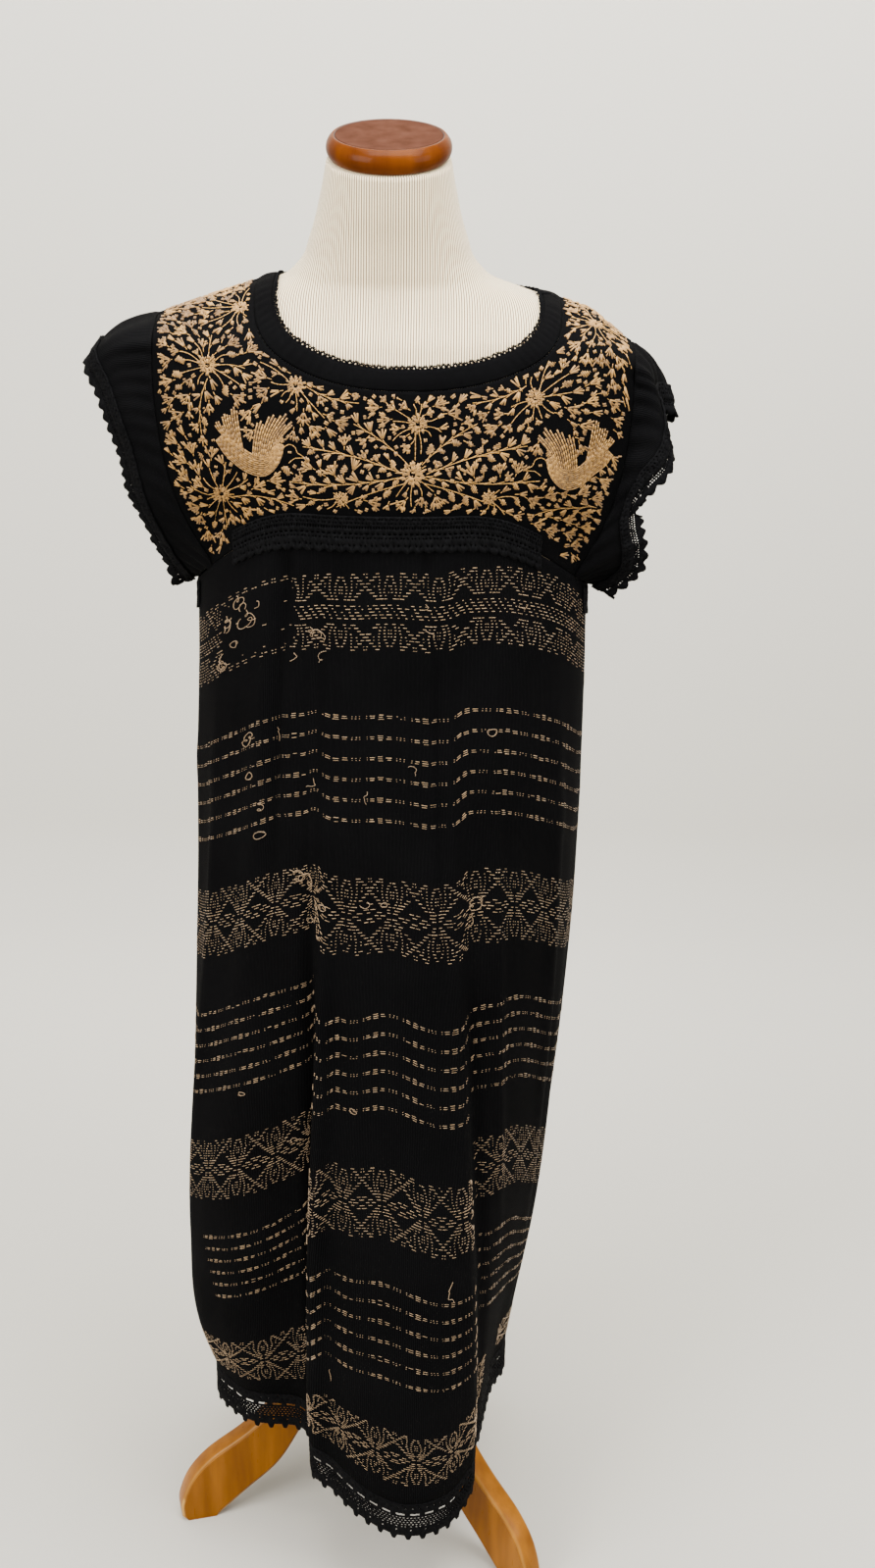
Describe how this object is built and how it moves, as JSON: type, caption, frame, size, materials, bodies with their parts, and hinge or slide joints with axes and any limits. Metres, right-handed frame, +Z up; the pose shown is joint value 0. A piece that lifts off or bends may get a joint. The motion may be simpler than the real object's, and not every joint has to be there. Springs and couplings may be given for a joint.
{
  "type": "huipil dress on dress form",
  "caption": "Long black huipil dress with an embroidered yoke, cap sleeves, woven bands and crochet edging, on a padded neck and torso form with a wooden tripod.",
  "frame": {"origin": "on the floor, under the middle of the whole", "axes": "+Z up, the dress faces -Y, its wearer's left is at +X"},
  "size_m": [0.5558, 0.4346, 1.5332],
  "materials": {
    "jersey": "matt cream jersey with fine grey-brown pinstripes",
    "honey_wood": "honey-coloured wood under gloss lacquer",
    "black_cotton": "matt black cotton, finely ribbed, with tan embroidery on the yoke and tan brocade bands on the skirt",
    "black_crochet": "matt black cotton crochet"
  },
  "bodies": {
    "root": {"form_torso": "jersey", "form_neck_cap": "honey_wood", "form_pole": "honey_wood", "form_hub": "honey_wood", "form_leg_left": "honey_wood", "form_leg_right": "honey_wood", "form_leg_back": "honey_wood", "yoke_front": "black_cotton", "yoke_back": "black_cotton", "neck_band": "black_cotton", "neck_picot": "black_crochet", "sleeve_left": "black_cotton", "sleeve_right": "black_cotton", "sleeve_lace_left": "black_crochet", "sleeve_lace_right": "black_crochet", "chest_lace_front": "black_crochet", "chest_lace_back": "black_crochet", "underarm_lace_left": "black_crochet", "underarm_lace_right": "black_crochet", "skirt_front": "black_cotton", "skirt_back": "black_cotton", "hem_lace_front": "black_crochet", "hem_lace_back": "black_crochet"}
  },
  "joints": []
}
